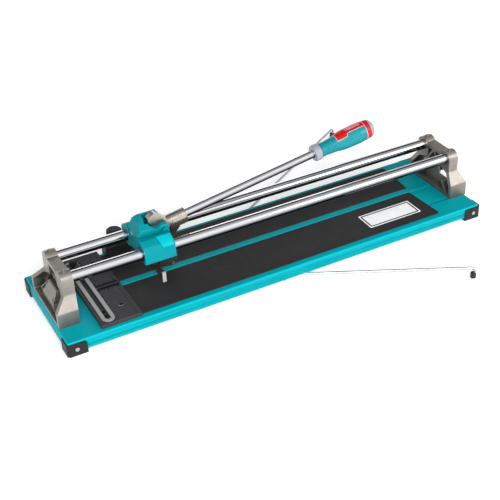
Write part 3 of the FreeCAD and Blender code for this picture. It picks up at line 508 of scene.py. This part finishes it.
def rounded_band(x0, x1, y0, y1, radius):
    """A rectangle's points with round corners."""
    points = []
    for cx, cy, start in ((x1 - radius, y1 - radius, 0), (x0 + radius, y1 - radius, 90),
                          (x0 + radius, y0 + radius, 180), (x1 - radius, y0 + radius, 270)):
        for i in range(6):
            turn = math.radians(start + 18 * i)
            points.append((cx + radius * math.cos(turn), cy + radius * math.sin(turn)))
    return points


def loft(shape, rings, closed=False):
    """Join rings of four corners in a row, with end faces unless the row is closed."""
    for i in range(len(rings) if closed else len(rings) - 1):
        first = rings[i]
        second = rings[(i + 1) % len(rings)]
        for k in range(4):
            shape.faces.new((first[k], first[(k + 1) % 4], second[(k + 1) % 4], second[k]))
    if not closed:
        shape.faces.new(list(reversed(rings[0])))
        shape.faces.new(rings[-1])


SUNK = 0.3    # mm of each ribbon that lies under the surface


def ribbon(shape, path, width, thick, closed=False):
    """A thin strip along (point, normal) pairs in mm; it stands proud along the normals."""
    count = len(path)
    rings = []
    for i, (point, normal) in enumerate(path):
        before = path[i - 1][0] if closed or i else point
        after = path[(i + 1) % count][0] if closed or i < count - 1 else point
        side = (after - before).cross(normal).normalized() * (width / 2)
        lift = normal.normalized() * thick
        low = normal.normalized() * -SUNK
        corners = (point - side + low, point + side + low, point + side + lift, point - side + lift)
        rings.append([shape.verts.new(corner_highlight * MM) for corner_highlight in corners])
    loft(shape, rings, closed)


def in_mm(name):
    """A CAD node's box in mm: low corner, high corner."""
    low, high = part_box(name)
    return Vector(low) / MM, Vector(high) / MM


# ---------------------------------------------------------------- details on the base

def fence_marks():
    """Dots along the fence's long edges, combs of lines beside its notch, and a painted highlight on the
    near side of its screw wells.
    """
    fence_edge, top = in_mm("fence_plate")[1].xz
    inner = in_mm("fence_bar")[1].x + 4.5
    outer = fence_edge - 9
    sunk = top - 0.2
    proud = top + 0.06
    first_dot, dot_pitch = -114, 10
    first_tooth, tooth_pitch, tooth_width = inner - 2, 4.2, 2.2

    def dots(shape):
        for x in (inner, outer):
            for step in range(24):
                y = first_dot + dot_pitch * step
                if abs(y) > 10:
                    prism(shape, disc(x, y, 1.3, 8), sunk, proud)
        for y in (-14.5, 14.5):
            for step in range(3):
                prism(shape, disc(inner + 9 + dot_pitch * step, y, 1.2, 8), sunk, proud)

    def combs(shape):
        for side in (-1, 1):
            spine = sorted((side * 4.1, side * 7.0))
            prism(shape, band(inner - 3, fence_edge - 2, *spine), sunk, proud + 0.01)
            for step in range(11):
                x = first_tooth + tooth_pitch * step
                tooth = sorted((side * 6.9, side * (13 if step % 5 == 0 else 10.5)))
                prism(shape, band(x, x + tooth_width, *tooth), sunk, proud)

    # Painted highlight: a pale arc round the near side of each screw well.
    def well_highlights(shape):
        radius = 5.5
        for x, y in ((fence_edge - 27, -75), (fence_edge - 25, 93)):
            arc = []
            for step in range(12):
                turn = math.radians(170 + 12 * step)
                place = Vector((x + radius * math.cos(turn), y + radius * math.sin(turn), top))
                arc.append((place, UP))
            ribbon(shape, arc, 1.1, 0.12)

    piece("screw_well_highlights", "base", "bar", well_highlights)
    piece("fence_dots", "base", "mark_dark", dots)
    piece("fence_combs", "base", "mark_dark", combs)


def pad_label():
    """A blank label with a thin border on the near pad, where the real one carries a mark."""
    pad_top = in_mm("near_pad")[1].z
    label_top = pad_top + 0.2
    margin = 5
    x0, x1, y0, y1 = 230, 366, -92, -38

    def panel(shape):
        prism(shape, rounded_band(x0, x1, y0, y1, 3), pad_top - 0.3, label_top)

    def border(shape):
        points = rounded_band(x0 + margin, x1 - margin, y0 + margin, y1 - margin, 2)
        path = [(Vector((x, y, label_top)), UP) for x, y in points]
        ribbon(shape, path, 3.4, 0.08, closed=True)

    piece("label_panel", "base", "label", panel)
    piece("label_border", "base", "label_dark", border)


def pad_beads():
    """A raised bead moulded along each pad's long edge beside the ridge, in a rubber darker than the pad
    that partly paints the shade in the gap beside the ridge.
    """
    beside_ridge = 9.9
    for name, y in (("near_pad", -beside_ridge), ("rear_pad", beside_ridge)):
        low, high = in_mm(name)

        def bead(shape, low=low, high=high, y=y):
            along = (low.x + 4, (low.x + high.x) / 2, high.x - 14)
            ribbon(shape, [(Vector((x, y, high.z)), UP) for x in along], 2.2, 0.3)

        piece(name + "_bead", "base", "seal", bead, 0.1)


def plaque_frame():
    """A raised frame round the left bracket's blank panel, upright below and leaning above."""
    face_x = in_mm("left_bracket")[0].x + 8
    bend = 64
    run, rise = 21, 28    # the leaning part goes in by the run as it climbs by the rise
    outline = [(-39, 47), (39, 47), (35, bend), (35, bend + 0.1), (23, 81.5), (-23, 81.5),
               (-35, bend + 0.1), (-35, bend)]

    def on_face(y, z):
        if z <= bend:
            return Vector((face_x, y, z)), Vector((-1, 0, 0))
        return Vector((face_x + (z - bend) * run / rise, y, z)), Vector((-rise, 0, run)).normalized()

    def build(shape):
        ribbon(shape, [on_face(y, z) for y, z in outline], 2.6, 1.1, closed=True)

    piece("plaque_frame", "base", "bracket", build, 0.4)


def stiffener_welds():
    """Spot welds along the stiffener's two flanges, seen from below."""
    low, high = in_mm("base_stiffener")
    flange = high.z - 2
    end_margin = 16
    gaps = 14

    def spots(shape):
        for y in (-36, 36):
            for step in range(gaps + 1):
                x = low.x + end_margin + step * (high.x - low.x - 2 * end_margin) / gaps
                prism(shape, disc(x, y, 3.4, 16), flange - 0.35, flange + 0.5)

    piece("stiffener_welds", "base", "zinc", spots, 0.15)


# ---------------------------------------------------------------- details on the carriage and the stops

def housing_facet():
    """The raised flat on the near housing's upper shoulder, in a lighter teal: a painted highlight where
    it faces the light.
    """
    right = in_mm("front_bearing")[1].x + 2
    raised, sunk, inset, taper = 1.0, 2.6, 1.6, 1.5
    # y, z, and where the flat starts and ends from the housing's right end, from the top down
    stations = ((-39.5, 148.6, -31, -1), (-55.8, 142.4, -28, -1), (-62.2, 134, -25, -2))

    def build(shape):
        rings = []
        for y, z, start, end in stations:
            ring = []
            for x in (right + start, right + end):
                ring.append(shape.verts.new(Vector((x, y, z + raised)) * MM))
            for x in (right + end + taper, right + start - taper):
                ring.append(shape.verts.new(Vector((x, y + inset, z - sunk)) * MM))
            rings.append(ring)
        loft(shape, rings)

    piece("housing_facet", "carriage", "teal_lit_facet", build, 0.8)


def parting_line():
    """The casting's parting line along both housings' outer faces."""
    low, high = in_mm("front_bearing")
    housing_face = 62.5
    z = 118

    def build(shape):
        for side in (-1, 1):
            y = side * housing_face
            path = [(Vector((x, y, z)), Vector((0, side, 0))) for x in (low.x - 2, high.x + 2)]
            ribbon(shape, path, 0.9, 0.22)

    piece("parting_line", "carriage", "teal_casting", build, 0.1)


def edge_stop_details():
    """Moulded ribs on the edge stop's outer side and a cap with a ring on its knob."""
    low, high = in_mm("edge_stop")
    knob_low, knob_high = in_mm("edge_stop_knob")
    centre = (knob_low + knob_high) / 2
    end_margin = 9
    gaps = 4

    def ribs(shape):
        for step in range(gaps + 1):
            x = low.x + end_margin + step * (high.x - low.x - 2 * end_margin) / gaps
            path = [(Vector((x, high.y, z)), Vector((0, 1, 0))) for z in (19, 34, 50)]
            ribbon(shape, path, 2.2, 0.9)

    def cap(shape):
        prism(shape, disc(centre.x, centre.y, 8.2, 32), knob_high.z - 0.4, knob_high.z + 0.5)
        ring = [(Vector((x, y, knob_high.z)), UP) for x, y in disc(centre.x, centre.y, 10.6, 32)]
        ribbon(shape, ring, 0.9, 0.3, closed=True)

    piece("edge_stop_ribs", "edge_slider", "black_plastic", ribs, 0.4)
    piece("edge_knob_cap", "edge_clamp", "black_plastic", cap, 0.15)


# ---------------------------------------------------------------- details on the handle

TILT = math.radians(9.2)    # the handle's rise above level
# Distance from the pivot and radius, in mm, along the grip.
GRIP_PROFILE = (
    (388, 16.2), (402, 15.7), (414, 16.3), (426, 17.6), (436, 19.2),
    (446, 20.8), (460, 21.9), (478, 22.4), (490, 22.2), (501, 21.4))


def on_handle(along, radius, degrees):
    """A point on the handle and its outward normal.

    along is the distance from the pivot in mm, and degrees is the angle from the handle's top.
    """
    low, high = in_mm("pivot_pin")
    pivot = Vector(((low.x + high.x) / 2, 0, (low.z + high.z) / 2))
    axis = Vector((math.cos(TILT), 0, math.sin(TILT)))
    top = Vector((-math.sin(TILT), 0, math.cos(TILT)))
    turn = math.radians(degrees)
    normal = top * math.cos(turn) + Vector((0, 1, 0)) * math.sin(turn)
    return pivot + axis * along + normal * radius, normal


def grip_radius(along):
    """The grip's radius, straight between the points of its profile."""
    for (x0, r0), (x1, r1) in zip(GRIP_PROFILE, GRIP_PROFILE[1:]):
        if along <= x1:
            return r0 + (r1 - r0) * (along - x0) / (x1 - x0)
    return GRIP_PROFILE[-1][1]


def on_grip(along, proud, degrees):
    """A point over the grip's surface and its outward normal."""
    return on_handle(along, grip_radius(along) + proud, degrees)


def ring_path(along, radius):
    """A ring of points round the handle."""
    count = 48
    return [on_handle(along, radius, 360 * i / count) for i in range(count)]


def grip_details():
    """The pale line round the red inlay, a hatched panel on it, and the moulding's ribs and seams."""
    line_width, line_thick = 1.3, 0.25

    def outline(shape):
        for side in (-1, 1):
            path = [on_grip(430, 0.2, side * 49)]
            path += [on_grip(434 + 4 * step, 0.35, side * (49 - step * 0.3)) for step in range(5)]
            path += [on_grip(453.5 + 1.2 * step, 0.4, side * (47 - step * 5.2)) for step in range(4)]
            path += [on_grip(459 + 5 * step, 0.45, side * 29) for step in range(9)]
            ribbon(shape, path, line_width, line_thick)
        front = [on_grip(429.5, 0.25, -49 + 7 * step) for step in range(15)]
        ribbon(shape, front, line_width, line_thick)

    def hatch(shape):
        proud, half_width = 1.0, 9
        loop = [on_grip(457 + 4 * step, proud, half_width) for step in range(10)]
        loop += [on_grip(493 - 4 * step, proud, -half_width) for step in range(10)]
        ribbon(shape, loop, 1.0, line_thick, closed=True)
        for stroke in range(7):
            along = 461 + 4.6 * stroke
            radius = grip_radius(along) + proud
            path = [on_handle(along + 0.55 * step, radius, 5 - 2.5 * step) for step in range(5)]
            ribbon(shape, path, 1.1, line_thick)

    def seams(shape):
        ribbon(shape, ring_path(388.2, 16.4), 0.7, 0.12, closed=True)
        ribbon(shape, ring_path(512.1, 20.7), 0.6, 0.1, closed=True)

    def grip_ribs(shape):
        for rib in range(5):
            for side in (-1, 1):
                path = [on_grip(405 + 7 * rib, 0, side * (70 + 8 * step)) for step in range(11)]
                ribbon(shape, path, 1.6, 0.35)

    def edging(shape):
        ribbon(shape, ring_path(501.2, 21.7), line_width, 0.3, closed=True)

    piece("inlay_outline", "lever", "accent", outline, 0.1)
    piece("inlay_hatch", "lever", "accent", hatch, 0.1)
    piece("grip_ribs", "lever", "teal_grip", grip_ribs, 0.2)
    piece("grip_seams", "lever", "mark_dark", seams)
    piece("band_edging", "lever", "accent", edging, 0.1)


def socket_seam():
    """A fine turned line round the lever's socket, near its mouth."""
    def build(shape):
        ribbon(shape, ring_path(54.8, 14.0), 0.5, 0.05, closed=True)

    piece("socket_seam", "lever", "dark_casting", build)


fence_marks()
pad_label()
pad_beads()
plaque_frame()
stiffener_welds()
housing_facet()
parting_line()
edge_stop_details()
grip_details()
socket_seam()


# ---------------------------------------------------------------- camera, floor and light

FLOOR_REACH = 40    # metres from the middle to each side
CAMERA_PLACE = (-0.8858, -1.6943, 1.2905)
CAMERA_TURN = (56.046, 1.991, -28.196)    # degrees
SURROUND_STRENGTH = 1.15
# Place and brightness along the surround, from the back horizon (0) over the top to the front one (1).
SURROUND_STOPS = ((0.0, 0.9), (0.1, 0.75), (0.15, 0.6), (0.2, 0.05), (0.38, 0.04), (0.43, 0.3),
                  (0.63, 0.5), (0.7, 1.0), (1.0, 1.0))


def studio():
    """A plain pale floor, soft light and the camera."""
    mesh = bpy.data.meshes.new("floor")
    shape = bmesh.new()
    bmesh.ops.create_grid(shape, x_segments=1, y_segments=1, size=FLOOR_REACH)
    shape.to_mesh(mesh)
    shape.free()
    floor = bpy.data.objects.new("floor", mesh)
    bpy.context.scene.collection.objects.link(floor)
    pale = finish("floor_pale", (0.93, 0.93, 0.93, 1), 0.9, (3, 0.01), (40, 0.02, 0.0005), specular=0.1)
    glow = pale.node_tree.nodes["Principled BSDF"].inputs
    glow["Emission Color"].default_value = (1, 1, 1, 1)
    glow["Emission Strength"].default_value = 0.3
    floor.data.materials.append(pale)
    floor.location.z = -0.5 * MM    # just clear of the feet
    light_area("key", (-1.0, -2.4, 1.7), (0.0, 0.0, 0.1), (1.8, 1.2), 60)
    light_area("fill", (1.9, -1.9, 1.2), (0.1, 0.0, 0.1), (1.5, 1.2), 24)
    light_area("back", (0.3, 2.6, 1.1), (0.0, 0.0, 0.1), (2.6, 0.5), 9)
    sky()
    camera()


def light_area(name, place, target, size, power):
    """A soft rectangular light aimed at a target."""
    light = bpy.data.lights.new(name, "AREA")
    light.shape = "RECTANGLE"
    light.size, light.size_y = size
    light.energy = power
    made = bpy.data.objects.new(name, light)
    bpy.context.scene.collection.objects.link(made)
    made.location = place
    made.rotation_euler = (Vector(target) - Vector(place)).to_track_quat("-Z", "Y").to_euler()


def sky():
    """A studio surround whose brightness changes from the back, over the top, to the front."""
    world = bpy.data.worlds.new("studio")
    bpy.context.scene.world = world
    world.use_nodes = True
    tree = world.node_tree
    background = tree.nodes["Background"]
    background.inputs["Strength"].default_value = SURROUND_STRENGTH
    coords = tree.nodes.new("ShaderNodeTexCoord")
    split = tree.nodes.new("ShaderNodeSeparateXYZ")
    flip = tree.nodes.new("ShaderNodeMath")
    flip.operation = "MULTIPLY"
    flip.inputs[1].default_value = -1
    angle = tree.nodes.new("ShaderNodeMath")
    angle.operation = "ARCTAN2"
    scale = tree.nodes.new("ShaderNodeMapRange")
    scale.inputs["From Min"].default_value = -math.pi / 2
    scale.inputs["From Max"].default_value = math.pi / 2
    ramp = tree.nodes.new("ShaderNodeValToRGB")
    tree.links.new(coords.outputs["Generated"], split.inputs[0])
    tree.links.new(split.outputs["Y"], flip.inputs[0])
    tree.links.new(flip.outputs[0], angle.inputs[0])
    tree.links.new(split.outputs["Z"], angle.inputs[1])
    tree.links.new(angle.outputs[0], scale.inputs["Value"])
    tree.links.new(scale.outputs["Result"], ramp.inputs["Fac"])
    tree.links.new(ramp.outputs["Color"], background.inputs["Color"])
    band_of_light = ramp.color_ramp.elements
    band_of_light[0].position = SURROUND_STOPS[0][0]
    band_of_light[1].position = SURROUND_STOPS[-1][0]
    for position, _ in SURROUND_STOPS[1:-1]:
        band_of_light.new(position)
    for element, (_, value) in zip(band_of_light, SURROUND_STOPS):
        element.color = (value, value, value, 1)


def camera():
    """The camera, from the front left and above."""
    data = bpy.data.cameras.new("camera")
    data.sensor_width = 36
    data.lens = 74.52
    data.clip_end = 50
    made = bpy.data.objects.new("camera", data)
    bpy.context.scene.collection.objects.link(made)
    made.location = CAMERA_PLACE
    made.rotation_euler = [math.radians(degrees) for degrees in CAMERA_TURN]
    bpy.context.scene.camera = made


studio()
bpy.context.scene.view_settings.view_transform = "Standard"
